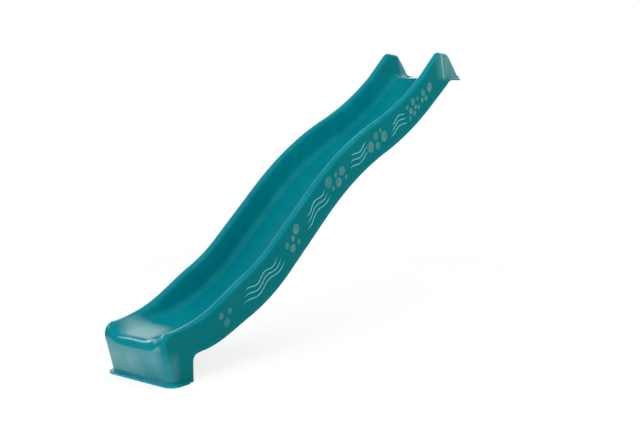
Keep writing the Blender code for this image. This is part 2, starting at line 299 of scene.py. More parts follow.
plastic = dict(
    colour=(0.0, 0.190, 0.225),
    deepTone=(0.0, 0.160, 0.195),
    wornTone=(0.020, 0.240, 0.270),
    # painted reflection: pale upright bands on the foot, where it mirrors the floor
    footReflectionTone=(0.060, 0.245, 0.260),
    # painted light on the flange's top
    flangeLitTone=(0.0, 0.240, 0.295),
    # painted shade: the outer walls, darker and greener than the light on them gives
    outsidePaintedLight=(0.0, 0.143, 0.156),
    # painted light on the ear behind its fold
    earLitTone=(0.075, 0.235, 0.225),
    # painted highlight along the ear's fold
    foldHighlightTone=(0.300, 0.560, 0.570),
    # painted reflection on the run-out
    runOutReflectionTone=(0.180, 0.355, 0.365),
    roughness=0.11,
    unevenness=0.06,  # how far the roughness wanders
    scuffRough=0.30,  # and what scuffs, the foot and the run-out's painted reflection add to it
    footRough=0.14,
    reflectionRough=0.20,
    footBack=-1.300,  # the foot's painted reflection lies before this x and below footTop
    footFade=0.060,
    footTop=0.200,
    footTopFade=0.110,
    wallFace=0.222,  # outside of the wall, which draws in by earTaper behind the fold
    earTaper=0.008,
    earLength=0.20,
    earFoot=1.490,  # height at which the ear's painted light starts
    foldTop=(1.158, 1.683),
    foldLean=0.262,  # how far the fold runs back for each metre down
    foldHighlightWidth=(0.0065, 0.0020),
    reflectionAt=(-1.278, 0.050),  # middle of a painted reflection on the run-out
    reflectionReach=(0.125, 0.150),
    wavy=0.0018,  # heights of the skin's waves, the foot's bands and the grain
    banded=0.012,
    grained=0.00020,
)


def mouldedPlastic(name, s, light, deep, rough):
    # cloudy tone, a skin left faintly wavy by the mould, fine scuffs along the run, a foot rougher
    # in upright bands, and painted light and shade: the outer walls, ear, fold, flange, foot and run-out
    made, shader, point = nodesOf(name)
    x, y, z = axesOf(point)
    cloud = noise(point, 5.0, 4.0, 0.55)
    grain = noise(point, 60.0, 2.0, 0.6)
    streaks = noise(mapped(point, (2.5, 90.0, 2.5)), 3.0, 4.0, 0.65)
    bands = noise(mapped(point, (5.0, 8.0, 1.6), (0.0, 0.35, 0.0)), 1.5, 1.5, 0.45)
    tint = blended(spanned(cloud, 0.30, 0.72), deep, light)
    # painted shade makes the outside wall darker and greener; its ear gets painted light behind a fold, and
    # the fold's edge a painted highlight
    foldX, foldZ = s["foldTop"]
    fold = plus(foldX + s["foldLean"] * foldZ, times(z, -s["foldLean"]))
    pastFold = maths("SUBTRACT", x, fold)
    face = plus(maths("ABSOLUTE", y), spanned(pastFold, 0.0, s["earLength"], 0.0, s["earTaper"]))
    outside = spanned(face, s["wallFace"] - 0.0035, s["wallFace"] - 0.0005)
    onEar = times(outside, spanned(z, s["earFoot"], s["earFoot"] + 0.040))
    # painted light: the ear behind the fold is paler, as if more light fell on its rear facet
    litEar = times(onEar, spanned(pastFold, -0.120, 0.030, 0.0, 0.85))
    # a painted highlight: a pale line along the fold's edge
    foldHighlight = times(onEar, spanned(maths("ABSOLUTE", pastFold), *s["foldHighlightWidth"], 0.0, 0.75))
    scuff = spanned(streaks, 0.60, 0.82, 0.0, 0.30)
    # the foot above its flange gets rougher, with painted reflection in pale bands; the flange gets painted
    # light
    inFront = spanned(x, s["footBack"], s["footBack"] - s["footFade"])
    onFoot = times(inFront, spanned(z, s["footTop"], s["footTop"] - s["footTopFade"]))
    footReflectionBands = times(onFoot, spanned(z, 0.012, 0.030), spanned(bands, 0.30, 0.66, 0.25, 0.90))
    # painted light: the flange's top, facing up, is paler as if lit from above
    litFlangeTop = times(inFront, spanned(z, 0.016, 0.009))
    # a painted reflection: a pale oval on the run-out, ragged at its rim, kept off the underside and the
    # walls
    reach = [maths("DIVIDE", maths("SUBTRACT", axis, middle), radius)
             for axis, middle, radius in zip((x, y), s["reflectionAt"], s["reflectionReach"])]
    oval = plus(*[times(share, share) for share in reach], times(bands, 0.4))
    runOutReflection = times(spanned(oval, 1.45, 0.05), spanned(z, 0.215, 0.224), spanned(z, 0.300, 0.262))
    # tones laid in turn: painted shade, painted light on the ear, a painted fold highlight, real scuffs,
    # painted reflection on the foot, painted light on the flange and painted reflection on the run-out
    for share, tone in ((outside, "outsidePaintedLight"), (litEar, "earLitTone"), (foldHighlight, "foldHighlightTone"),
                        (scuff, "wornTone"), (footReflectionBands, "footReflectionTone"), (litFlangeTop, "flangeLitTone"),
                        (runOutReflection, "runOutReflectionTone")):
        tint = blended(share, tint, s[tone])
    wander = plus(spanned(cloud, 0.3, 0.7, rough, rough + s["unevenness"]), times(scuff, s["scuffRough"]),
                  times(footReflectionBands, s["footRough"]), times(runOutReflection, s["reflectionRough"]))
    normal = bumped(noise(point, 8.0, 2.0, 0.4), s["wavy"])
    normal = bumped(times(bands, onFoot), s["banded"], Normal=normal)
    dressed(shader, tint, wander, bumped(grain, s["grained"], 0.6, Normal=normal))
    return made


teal = mouldedPlastic("mouldedTeal", plastic, plastic["colour"], plastic["deepTone"], plastic["roughness"])

# the ripples are painted pale: a painted highlight for the light their raised ridges catch
ripplePlastic = dict(plastic, wornTone=(0.20, 0.48, 0.50), outsidePaintedLight=(0.160, 0.430, 0.450))
rippleHighlightTeal = mouldedPlastic("rippleHighlightTeal", ripplePlastic, (0.170, 0.450, 0.470), (0.090, 0.360, 0.385), 0.16)

satin = dict(
    pale=(0.075, 0.228, 0.226),
    deep=(0.020, 0.180, 0.185),
    roughness=0.34,
    unevenness=0.16,
    grain=420.0,  # grains to the metre
)


def satinPlastic(name, s):
    # raised spots, etched in the mould: matt, finely grained, paler in soft blotches
    made, shader, point = nodesOf(name)
    blotch = noise(point, 24.0, 3.0, 0.6)
    wash = noise(point, 4.0, 2.0, 0.5)
    grain = noise(point, s["grain"], 2.0, 0.6)
    share = times(spanned(blotch, 0.36, 0.64), spanned(wash, 0.30, 0.62, 0.35, 1.0))
    dressed(shader, blended(share, s["deep"], s["pale"]),
            spanned(grain, 0.2, 0.8, s["roughness"], s["roughness"] + s["unevenness"]),
            bumped(grain, 0.00012, 0.7, Normal=bumped(blotch, 0.0014)), 0.45)
    return made


satinTeal = satinPlastic("satinTeal", satin)


def capFinish(name):
    # soft injection-moulded cap: even tone, fine spark-etched grain, a little dust in the dish
    made, shader, point = nodesOf(name)
    cloud = noise(point, 40.0, 3.0)
    grain = noise(point, 900.0, 2.0, 0.5)
    dust = spanned(noise(point, 160.0, 4.0, 0.7), 0.55, 0.85, 0.0, 0.25)
    tint = blended(spanned(cloud, 0.35, 0.75), (0.0, 0.165, 0.190), (0.006, 0.205, 0.225))
    dressed(shader, blended(dust, tint, (0.10, 0.27, 0.28)), spanned(grain, 0.2, 0.8, 0.30, 0.44),
            bumped(grain, 0.00006), 0.45)
    return made


def zincFinish(name):
    # zinc plate: grey with faint blue and straw patches, a spangle of small facets, dull scratches
    made, shader, point = nodesOf(name)
    patch = noise(point, 130.0, 3.0, 0.6)
    tint = blended(spanned(patch, 0.35, 0.65), (0.56, 0.59, 0.63), (0.66, 0.64, 0.58))
    cells = newNode(point, "TexVoronoi", Vector=point, Scale=700.0)
    spangle = spanned(cells.outputs["Distance"], 0.1, 0.7, 0.0, 0.25)
    scratch = noise(mapped(point, (300.0, 300.0, 2500.0)), 1.0, 3.0, 0.7)
    dressed(shader, blended(spangle, tint, (0.42, 0.44, 0.47)), spanned(scratch, 0.3, 0.8, 0.24, 0.46),
            bumped(scratch, 0.00003))
    shader.inputs["Metallic"].default_value = 1.0
    return made


capTeal = capFinish("capTeal")
zinc = zincFinish("zincPlate")
print("materials made")

slide = dict(
    platformHeight=1.500,
    exitHeight=0.223,
    frontLean=radians(14.5),
    noseRadius=0.050,
    exitSlope=radians(2.4),
    exitRun=0.192,
    exitRadius=1.158,
    lowerSlope=radians(38.4),
    waveRadius=2.244,
    waveSlope=radians(20.3),
    upperRadius=2.487,
    upperSlope=radians(34.1),
    upperRun=0.245,
    crestRadius=0.040,
    startSlope=radians(4.0),
    startDepth=0.205,
    earFrontShare=0.25,  # how much of the start lies before the ears' crease
    crestRise=0.015,
    wallHeight=0.157,
    noseRim=0.047,
    rimRamp=0.620,
    innerHalfWidth=0.177,
    outerHalfWidth=0.222,
    wallDraft=0.008,
    bedFillet=0.042,
    footDish=0.050,
    dishReach=0.075,  # how much wider the bed rounds where the walls are low
    cornerShare=0.80,  # outer round's share of the rim's width at the foot, and further up
    rimShare=0.50,
    filletShare=0.55,  # most of the wall that the bed's fillet takes up
    filletShareAtRear=0.30,
    roundedShare=0.95,  # most of the wall that its two rounds take up
    outerShare=0.60,
    skin=0.004,
    earSweepRadius=0.900,
    earRise=radians(39.0),
    earRadius=0.060,
    earTopSlope=radians(-3.0),
    earTopRun=0.073,
    earFall=radians(-43.5),
    earEndRise=0.004,
    earSetback=0.012,
    earTaper=0.008,
    earFlare=0.014,
    edgeDepth=0.053,
    edgeDropAtFoot=0.035,
    edgeBlend=0.350,
    edgeFillet=0.120,
    kneeRadius=0.035,
    lipWidth=0.010,
    lipSlopeDrop=0.006,
    lipSkirt=0.011,
    lipRound=0.003,
    footDepth=0.160,
    flangeFront=0.020,
    flangeSide=0.024,
    flangeTop=0.012,
    flangeEdge=0.010,
    flangeFade=0.045,
    flangeRound=0.003,
    flangeFillet=0.006,
    leastRound=0.0004,  # round of a corner that the skin's thickness uses up
    rowStep=0.010,
    firstStation=0.13,  # the front starts here, above the flange's fillet
)


def slideLines(s):
    # seven lines run up the moulding, each a function of one station number:
    # bed centre, bed corner, inner and outer rim, root of the lip, lip and lower edge
    frontHeading = pi / 2 + s["frontLean"]
    noseHeight = s["noseRadius"] * (cos(s["exitSlope"]) - cos(frontHeading))
    frontLength = (s["exitHeight"] - noseHeight - s["flangeTop"]) / sin(frontHeading)
    start = (s["flangeFront"], s["flangeTop"])

    def legsWith(lowerRun):
        return [(frontLength, None, 3), (s["noseRadius"], s["exitSlope"], 7),
                (s["exitRun"], None, 2), (s["exitRadius"], s["lowerSlope"], 8),
                (lowerRun, None, 3), (s["waveRadius"], s["waveSlope"], 6),
                (s["upperRadius"], s["upperSlope"], 6), (s["upperRun"], None, 4),
                (s["crestRadius"], s["startSlope"], 3),
                (s["startDepth"] * s["earFrontShare"], None, 1),
                (s["startDepth"] * (1.0 - s["earFrontShare"]), None, 8)]

    # stations at which legs end: front, nose, run-out, wave, crest, the ears' crease, rear
    ends = np.cumsum([leg[-1] for leg in legsWith(0.0)])
    nose, noseEnd, knee, ear, crest, crease, rear = (int(ends[k]) for k in (0, 1, 2, 6, 8, 9, 10))
    # the straight run below the wave is as long as the height of the start needs
    crestZ = walk(start, frontHeading, legsWith(0.0), np.array([float(crest)]))[0, 1]
    legs = legsWith((s["platformHeight"] + s["crestRise"] - crestZ) / sin(s["lowerSlope"]))

    def bedAt(at):
        bed = walk(start, frontHeading, legs, at)
        return bed[:, :2], np.stack([-np.sin(bed[:, 2]), np.cos(bed[:, 2])], axis=1), bed[:, 2]

    dense = np.linspace(0.0, rear, rear * 20 + 1)
    denseLength = lengthAlong(bedAt(dense)[0])
    noseLength = np.interp(noseEnd, dense, denseLength)

    def fromNose(at):
        return np.interp(at, dense, denseLength) - noseLength

    def rimHeight(at):
        headings = bedAt(at)[2]
        low = s["noseRim"] * smooth((frontHeading - headings) / (frontHeading - s["exitSlope"]))
        high = s["noseRim"] + (s["wallHeight"] - s["noseRim"]) * smooth(fromNose(at) / s["rimRamp"])
        return np.where(at <= noseEnd, low, high)

    def edgeBase(at):
        line, outward, _ = bedAt(at)
        drop = s["edgeDropAtFoot"] * (1.0 - smooth((fromNose(at) - s["exitRun"]) / s["edgeBlend"]))
        return line - outward * (s["edgeDepth"] + drop)[:, None]

    # the ear's outline, with its two straight sides as long as its end needs
    earFoot, footOut, _ = bedAt(np.array([float(ear)]))
    earStart = (earFoot + footOut * s["wallHeight"])[0]
    rearPoint, rearOut, _ = bedAt(np.array([float(rear)]))
    tailEnd = (rearPoint + rearOut * s["earEndRise"])[0]
    earEnd = tailEnd - s["earSetback"] * np.array([cos(s["startSlope"]), sin(s["startSlope"])])

    def earLegs(rise, fall):
        return [(s["earSweepRadius"], s["earRise"], 2), (rise, None, 2),
                (s["earRadius"], s["earTopSlope"], 4), (s["earTopRun"], None, 1),
                (s["earRadius"], s["earFall"], 3), (fall, None, 2)]

    last = np.array([rear - 2.0 - ear])
    short = earEnd - walk(earStart, s["upperSlope"], earLegs(0.0, 0.0), last)[0, :2]
    slants = np.array([[turn(s["earRise"]), turn(s["earFall"])] for turn in (cos, sin)])
    rise, fall = np.linalg.solve(slants, short)

    def rimAt(at):
        line, outward, _ = bedAt(at)
        rim = line + outward * rimHeight(at)[:, None]
        onEar = at >= ear
        rim[onEar] = walk(earStart, s["upperSlope"], earLegs(rise, fall), at[onEar] - ear)[:, :2]
        onTail = at > rear - 2
        rim[onTail] = earEnd + (tailEnd - earEnd) * ((at[onTail] - rear + 2) / 2)[:, None]
        return rim

    # lower edge: up the back of the foot, along the chute, level under the start
    fan, lift = knee + 2, ear + 1
    kneeEnds = edgeBase(np.array([float(knee), knee + 1.0]))
    kneeSlope = atan2(*(kneeEnds[1] - kneeEnds[0])[::-1])
    kneeZ = kneeEnds[0, 1] - tan(kneeSlope) * (kneeEnds[0, 0] - s["footDepth"])
    kneeCut = s["kneeRadius"] * tan((pi / 2 - kneeSlope) / 2)
    kneeLegs = [(kneeZ - kneeCut - s["flangeTop"], None, 4), (s["kneeRadius"], kneeSlope, 6)]
    kneeLine = outline((s["footDepth"], s["flangeTop"]), pi / 2, kneeLegs)
    footLine = np.vstack([kneeLine, edgeBase(np.linspace(knee, fan, 40))])
    liftStart = edgeBase(np.array([float(lift)]))[0]
    liftCut = s["edgeFillet"] * tan(s["upperSlope"] / 2)
    liftRun = (s["platformHeight"] - liftStart[1]) / sin(s["upperSlope"]) - liftCut
    levelX = liftStart[0] + (liftRun + liftCut) * cos(s["upperSlope"]) + liftCut
    liftLegs = [(liftRun, None, 4), (s["edgeFillet"], 0.0, 8), (rearPoint[0, 0] - levelX, None, 4)]
    liftLine = outline(liftStart, s["upperSlope"], liftLegs)

    def edgeAt(at):
        edge = edgeBase(at)
        edge[at <= fan] = spread(footLine, at[at <= fan] / fan)
        edge[at >= lift] = spread(liftLine, (at[at >= lift] - lift) / (rear - lift))
        return edge

    # stations: close enough that no line steps further than rowStep, and bends stay round
    whole = np.arange(rear + 1.0)
    longest = np.max([np.hypot(*np.diff(line(whole), axis=0).T)
                      for line in (lambda at: bedAt(at)[0], rimAt, edgeAt)], axis=0)
    counts = np.maximum(np.ceil(longest / s["rowStep"]).astype(int), 4)
    at = np.concatenate([k + np.arange(n) / n for k, n in enumerate(counts)] + [[float(rear)]])
    at = at[(at == 0) | (at > s["firstStation"])]

    bedLine, rimLine, edgeLine = bedAt(at)[0], rimAt(at), edgeAt(at)
    run = unit(np.gradient(edgeLine, axis=0))
    away = np.stack([run[:, 1], -run[:, 0]], axis=1)
    away[at < 0.5] = (1.0, 0.0)
    lipLine = edgeLine - away * s["lipSkirt"]
    rootLine = lipLine - away * s["lipSlopeDrop"]

    wallShare = np.where(at >= ear, 1.0, np.clip(rimHeight(at) / s["wallHeight"], 0.0, 1.0))
    rearShare = np.clip((at - crease) / (rear - crease), 0.0, 1.0)
    innerY = s["innerHalfWidth"] + s["earFlare"] * rearShare
    bedY = innerY - s["wallDraft"] - s["footDish"] * (1.0 - wallShare)
    outerY = s["outerHalfWidth"] - s["earTaper"] * rearShare * (2.0 - rearShare)

    lipY = outerY + s["lipWidth"]
    pairs = ((bedLine, 0.0 * at), (bedLine, bedY), (rimLine, innerY), (rimLine, outerY),
             (rootLine, outerY), (lipLine, lipY), (edgeLine, lipY))
    lines = np.array([np.stack([line[:, 0], y, line[:, 1]], axis=1) for line, y in pairs])
    share = s["cornerShare"] - (s["cornerShare"] - s["rimShare"]) * smooth((at - nose) / (noseEnd - nose))
    fillet = np.interp(at, [crease, rear], [s["filletShare"], s["filletShareAtRear"]])
    return at, lines, share, fillet, crease


def inward(lines, depth):
    # the same lines one skin further in: each moves along the mean normal of the strips beside it,
    # further at a corner so that both strips keep their thickness
    middle = (lines[1:] + lines[:-1]) / 2
    normal = unit(np.cross(np.gradient(middle, axis=1), lines[1:] - lines[:-1]))
    before = np.concatenate([normal[:1], normal])
    after = np.concatenate([normal, normal[-1:]])
    even = (before + after) / (1.0 + (before * after).sum(axis=2, keepdims=True))
    return lines - depth * even


def sectionGrid(s, lines, share, fillet, depth):
    # half a section for every row: flat bed, fillet, wall, round rim, outer wall and turned-out
    # lip; the last number of each call is its count of steps
    centre, corner, rimIn, rimOut, root, lip, edge = lines
    wallLength = np.linalg.norm(rimIn - corner, axis=1)
    rimWidth = np.linalg.norm(rimOut - rimIn, axis=1)
    dropLength = np.linalg.norm(root - rimOut, axis=1)
    rimReach = np.minimum((1.0 - share) * rimWidth, (s["roundedShare"] - fillet) * wallLength)
    filletReach = np.minimum(s["bedFillet"] + depth, fillet * wallLength)
    outerReach = np.minimum(share * rimWidth, s["outerShare"] * dropLength)
    bedReach = filletReach + s["dishReach"] * np.clip(1.0 - wallLength / s["wallHeight"], 0.0, 1.0)
    bedRound = rounded(centre, corner, rimIn, bedReach, filletReach, 12)
    rimRound = rounded(corner, rimIn, rimOut, rimReach, (1.0 - share) * rimWidth, 8)
    outerRound = rounded(rimIn, rimOut, root, share * rimWidth, outerReach, 8)
    lipRound = max(s["lipRound"] - depth, s["leastRound"])
    rootRound = rounded(rimOut, root, lip, s["lipRound"], s["lipRound"], 3)
    edgeRound = rounded(root, lip, edge, lipRound, lipRound, 3)
    half = [centre[None], between(centre, bedRound[0], 5), bedRound, between(bedRound[-1], rimRound[0], 4),
            rimRound, outerRound[1:], between(outerRound[-1], rootRound[0], 6), rootRound, edgeRound,
            edge[None]]
    return np.concatenate(half).transpose(1, 0, 2)


def footRows(s, first, second, ground, flange, fine):
    # rows below the front face: up from the ground, round the flange's edge, over it and into the face
    gap = np.linalg.norm(flange - first, axis=1)
    near = np.minimum(s["flangeRound"] if fine else s["leastRound"], 0.45 * gap)
    far = np.minimum(s["flangeFillet"], 0.50 * gap)
    climb = np.minimum(s["flangeFillet"], 0.6 * np.linalg.norm(second - first, axis=1))
    edgeRound = rounded(ground, flange, first, near, near, 3)
    rootRound = rounded(flange, first, second, far, climb, 4)
    return np.concatenate([ground[None], edgeRound, rootRound])


def slideSheets(s):
    # outer and inner sheet of the whole moulding: half sections, their flange at the foot, and
    # both halves put together and centred on x
    at, lines, share, fillet, crease = slideLines(s)
    outer = sectionGrid(s, lines, share, fillet, 0.0)
    inner = sectionGrid(s, inward(lines, s["skin"]), share, fillet, s["skin"])
    first = outer[0]
    ahead = unit(np.gradient(first[:, :2], axis=0))
    front, side = np.clip(ahead[:, 1], 0.0, 1.0), np.clip(ahead[:, 0], 0.0, 1.0)
    onLip = first[:, 1] > s["outerHalfWidth"] - 1e-6
    front[onLip & (first[:, 0] > s["footDepth"] / 2)] = 0.0
    flange = first.copy()
    flange[:, 0] -= s["flangeFront"] * front
    flange[:, 1] += s["flangeSide"] * side * smooth((s["footDepth"] - first[:, 0]) / s["flangeFade"])
    flange[:, 2] = s["flangeEdge"]
    ground = flange * (1.0, 1.0, 0.0)
    moved = (inner[0] - first) * (1.0, 1.0, 0.0)
    innerFirst = first + moved
    innerFirst[:, 2] = s["flangeTop"] - s["skin"]
    innerFlange = flange + moved
    innerFlange[:, 2] = s["flangeEdge"] - s["skin"]
    outer = np.concatenate([footRows(s, first, outer[1], ground, flange, True), outer[1:]])
    inner = np.concatenate([footRows(s, innerFirst, inner[1], ground + moved, innerFlange, False), inner[1:]])
    sheets = [np.concatenate([half[:, ::-1], half[:, 1:] * (1.0, -1.0, 1.0)], axis=1)
              for half in (outer, inner)]
    shift = 0.5 * (sheets[0][..., 0].min() + sheets[0][..., 0].max())
    for sheet in sheets:
        sheet[..., 0] -= shift
    return sheets, lines - np.array([shift, 0.0, 0.0]), at, crease


def closedShell(name, outer, inner):
    # two sheets, joined all round by strips, with the outer one facing out
    rows, columns, _ = outer.shape
    o = np.arange(rows * columns).reshape(rows, columns)
    i = o + rows * columns
    strips = [(o[0, 1:], o[0, :-1], i[0, :-1], i[0, 1:]),
              (o[-1, :-1], o[-1, 1:], i[-1, 1:], i[-1, :-1]),
              (o[:-1, 0], o[1:, 0], i[1:, 0], i[:-1, 0]),
              (o[1:, -1], o[:-1, -1], i[:-1, -1], i[1:, -1])]
    faces = np.concatenate([gridFaces(rows, columns), gridFaces(rows, columns, rows * columns)[:, ::-1]]
                           + [np.stack(strip, axis=-1) for strip in strips])
    return meshFrom(name, np.concatenate([outer.reshape(-1, 3), inner.reshape(-1, 3)]), faces)


(outerSheet, innerSheet), slideEdges, stations, creaseAt = slideSheets(slide)
shellMesh = closedShell("slide_moulding", outerSheet, innerSheet)
print("moulding surface", outerSheet.shape)

fixings = dict(
    spacing=0.260,
    inset=0.085,
    pocket=0.044,
    pocketWall=0.005,
    pocketFloor=0.005,
    pocketRound=0.0010,
    bossRound=0.0012,
    mouthRound=0.0016,
    mouthTurn=radians(65.0),
    filletHeight=0.040,  # the bed is followed this far up its fillet
    toolBelow=0.010,  # how far a cutting tool stands out of the piece
    toolAbove=0.020,
    sliver=2e-5,  # edges shorter than this go after a cut
    hole=0.009,
    holeRound=0.0006,
    seatGap=0.0003,
    fitGap=0.0003,
    washer=0.024,
    washerThick=0.0016,
    washerRound=0.0004,
    acrossFlats=0.013,
    headHeight=0.0055,
    chamferReach=0.955,  # share of the flats' reach at which a chamfer starts
    chamferSlope=1.75,
    screw=0.008,
    screwLength=0.060,
    tip=0.008,
    thread=0.042,
    pitch=0.0035,
    threadDepth=0.0009,
    crestSharpness=2.2,
    tipCurve=0.75,
    capLid=0.0025,
    capWall=0.0018,
    capDish=0.0007,
    capRing=0.0005,
    capRound=0.0006,
)

creaseRow = int(np.argmin(np.abs(stations - creaseAt)))
startTilt = tan(slide["startSlope"])
fixingX, fixingY = slideEdges[0, -1, 0] - fixings["inset"], fixings["spacing"] / 2
bedZ = slideEdges[0, creaseRow, 2] + startTilt * (fixingX - slideEdges[0, creaseRow, 0])
pocketRadius = fixings["pocket"] / 2
mouthZ = bedZ - startTilt * pocketRadius
floorZ = slide["platformHeight"] + fixings["pocketFloor"]

# half a section of the bed at the fixings, from its middle into its fillet
bedRow = outerSheet[int(np.argmin(np.abs(slideEdges[0, :, 0] - fixingX)))]
bedRow = bedRow[(bedRow[:, 1] >= 0.0) & (bedRow[:, 1] < slide["innerHalfWidth"])
                & (bedRow[:, 2] < bedZ + fixings["filletHeight"])]
bedRow = bedRow[np.argsort(bedRow[:, 1])]


def toolAt(side, profile, fromHeight):
    # a profile carried round at a fixing; the part above fromHeight leans with the start of the
    # slide and rises with the bed's fillet
    mesh = lathed("tool", profile)
    where = pointsOf(mesh)
    rise = np.interp(fixingY + where[:, 1], bedRow[:, 1], bedRow[:, 2]) - bedRow[0, 2]
    where[:, 2] += np.where(where[:, 2] > fromHeight, startTilt * where[:, 0] + rise, 0.0)
    shifted(placedAt(mesh, where), fixingX, fixingY, slide["platformHeight"])
    placedAt(mesh, pointsOf(mesh) * (1.0, side, 1.0))
    if side < 0:
        mesh.flip_normals()
    return mesh


def changed(mesh, tools, operation):
    # joins or cuts with closed tools in one go; the modifier is applied and the tools go
    both = bmesh.new()
    for tool in tools:
        both.from_mesh(tool)
    both.to_mesh(tools[0])
    both.free()
    body, helper = inScene("body", mesh), inScene("tools", tools[0])
    change = body.modifiers.new("change", "BOOLEAN")
    change.object = helper
    change.operation = operation
    change.solver = "EXACT"
    bpy.context.view_layer.update()
    result = bpy.data.meshes.new_from_object(body.evaluated_get(bpy.context.evaluated_depsgraph_get()))
    for item in (body, helper):
        bpy.data.objects.remove(item, do_unlink=True)
    return result


def bossProfile(s):
    # a round pillar from the platform up into the skin of the bed, soft at its lower edge
    height = bedZ - slide["skin"] / 2 - slide["platformHeight"]
    radius = pocketRadius + s["pocketWall"]
    pillar = softened([(0.0, 0.0), (radius, 0.0), (radius, height)], s["bossRound"])
    return np.vstack([pillar, [(pocketRadius, height), (0.0, height)]]), height / 2


def pocketProfile(s):
    # hole, pocket and a mouth that flares in an arc; the mouth is what follows the bed
    low, bore, seat = -s["toolBelow"], s["hole"] / 2, s["pocketFloor"]
    bed = bedZ - slide["platformHeight"]
    above = bed + s["toolAbove"]
    turn = np.linspace(0.0, s["mouthTurn"], 6)
    flare = np.stack([1.0 - np.cos(turn), np.sin(turn) - 1.0], axis=1)
    flare = np.vstack([flare, flare[-1] + [sin(turn[-1]), cos(turn[-1])]])
    mouth = np.array([pocketRadius, bed]) + s["mouthRound"] * flare
    hole = [(0.0, low), (bore, low), (bore, seat - s["holeRound"]), (bore + s["holeRound"], seat)]
    pocket = [(pocketRadius - s["pocketRound"], seat), (pocketRadius, seat + s["pocketRound"])]
    profile = np.vstack([hole, pocket, mouth, [(mouth[-1, 0], above), (0.0, above)]])
    return profile, bed - s["mouthRound"] * 1.5


def cleaned(mesh, reach):
    # a cut's slivers go and its many-sided faces are split; says how many edges lack two faces
    work = bmesh.new()
    work.from_mesh(mesh)
    bmesh.ops.dissolve_degenerate(work, dist=reach, edges=work.edges)
    bmesh.ops.remove_doubles(work, verts=work.verts, dist=reach)
    bmesh.ops.dissolve_degenerate(work, dist=reach, edges=work.edges)
    manySided = [face for face in work.faces if len(face.verts) > 4]
    bmesh.ops.triangulate(work, faces=manySided, ngon_method="EAR_CLIP")
    openEdges = sum(len(edge.link_faces) != 2 for edge in work.edges)
    work.to_mesh(mesh)
    work.free()
    return openEdges


for profileOf, operation in ((bossProfile, "UNION"), (pocketProfile, "DIFFERENCE")):
    tools = [toolAt(side, *profileOf(fixings)) for side, _ in sides]
    shellMesh = changed(shellMesh, tools, operation)
    print(operation.lower(), "open edges", cleaned(shellMesh, fixings["sliver"]))
shellMesh.name = "slide_moulding"
newPiece("slide_moulding", shellMesh, teal, "moulded_plastic", ["slide_shell"], sharp=32.0)
print("moulding made", len(shellMesh.polygons))


def screwMesh(name, s):
    # radius as a function of angle and height: a hexagon cut by a shallow cone at both faces, the
    # shank, and a thread whose crest winds once round for every pitch and ends in the tip
    steps = 96
    angle = (np.arange(steps) * 2.0 * pi / steps)[:, None]
    flat, top, shank = s["acrossFlats"] / 2, s["headHeight"], s["screw"] / 2
    hexagon = flat / np.cos(((angle + pi / 6) % (pi / 3)) - pi / 6)
    # heights of the head's rings, from the middle of its top down to its seat
    headZ = np.array([top, top, top, top - 0.00025, top - 0.0006, top - 0.0010, top - 0.0016, top / 2,
                      0.0008, 0.0003, 0.0])
    cone = s["chamferReach"] * flat + s["chamferSlope"] * np.minimum(top - headZ, headZ + 0.0004)
    head = np.minimum(hexagon, cone)
    head[:, 0] = 0.0
    head[:, 1] = 0.70 * flat
    length = np.arange(0.0, s["screwLength"], s["pitch"] / 12)
    starts = s["screwLength"] - s["thread"]
    phase = angle / (2.0 * pi) - length / s["pitch"]
    ridge = np.clip(np.abs(2.0 * (phase % 1.0) - 1.0) * s["crestSharpness"] - 1.0, 0.0, 1.0)
    depth = s["threadDepth"] * smooth((length - starts) / (2.0 * s["pitch"]))
    stem = shank - depth * (1.0 - ridge)
    stem = stem * np.clip((s["screwLength"] - length) / s["tip"], 0.0, 1.0) ** s["tipCurve"]
    radius = np.concatenate([head, stem, np.zeros((steps, 1))], axis=1)
    height = np.concatenate([headZ, -length, [-s["screwLength"]]])
    points = np.stack([radius * np.cos(angle), radius * np.sin(angle), height + 0.0 * radius], axis=-1)
    return merged(name, points, roundFaces(steps, len(height))[:, ::-1])


def washerMesh(name, s):
    # a flat ring with rounded edges, carried round from the middle of its bore and back
    bore, rim, thick = s["hole"] / 2, s["washer"] / 2, s["washerThick"]
    ring = [(bore, thick / 2), (bore, 0.0), (rim, 0.0), (rim, thick), (bore, thick), (bore, thick / 2)]
    return lathed(name, softened(ring, s["washerRound"]))


def capMesh(name, s):
    # a cup upside down, its lid dished inside a low rim and marked with one shallow ring
    top = mouthZ - floorZ - s["seatGap"]
    radius = pocketRadius - s["fitGap"]
    inner = radius - s["capWall"]
    lid, dish = top - s["capLid"], top - s["capDish"]
    ring = dish - s["capRing"]
    cup = softened([(0.0, lid), (inner, lid), (inner, 0.0), (radius, 0.0), (radius, top),
                    (radius * 0.86, top), (radius * 0.80, dish), (radius * 0.46, dish),
                    (radius * 0.43, ring), (radius * 0.38, ring), (radius * 0.35, dish),
                    (0.0, dish)], s["capRound"])
    return lathed(name, cup, 96)


washerZ = floorZ + fixings["seatGap"]
headZ = washerZ + fixings["washerThick"] + fixings["seatGap"]
fixingKinds = (("washer_", washerMesh, washerZ, zinc, "zinc_steel", "flange_washer_", 40.0),
               ("screw_", screwMesh, headZ, zinc, "zinc_steel", "flange_screw_", 30.0),
               ("cap_", capMesh, washerZ, capTeal, "cap_plastic", "screw_cap_", 30.0))
for side, word in sides:
    for name, meshOf, z, finish, slot, node, sharp in fixingKinds:
        mesh = shifted(meshOf(name + word, fixings), fixingX, side * fixingY, z)
        newPiece(name + word, mesh, finish, slot, [node + word], sharp)
print("fixings made")

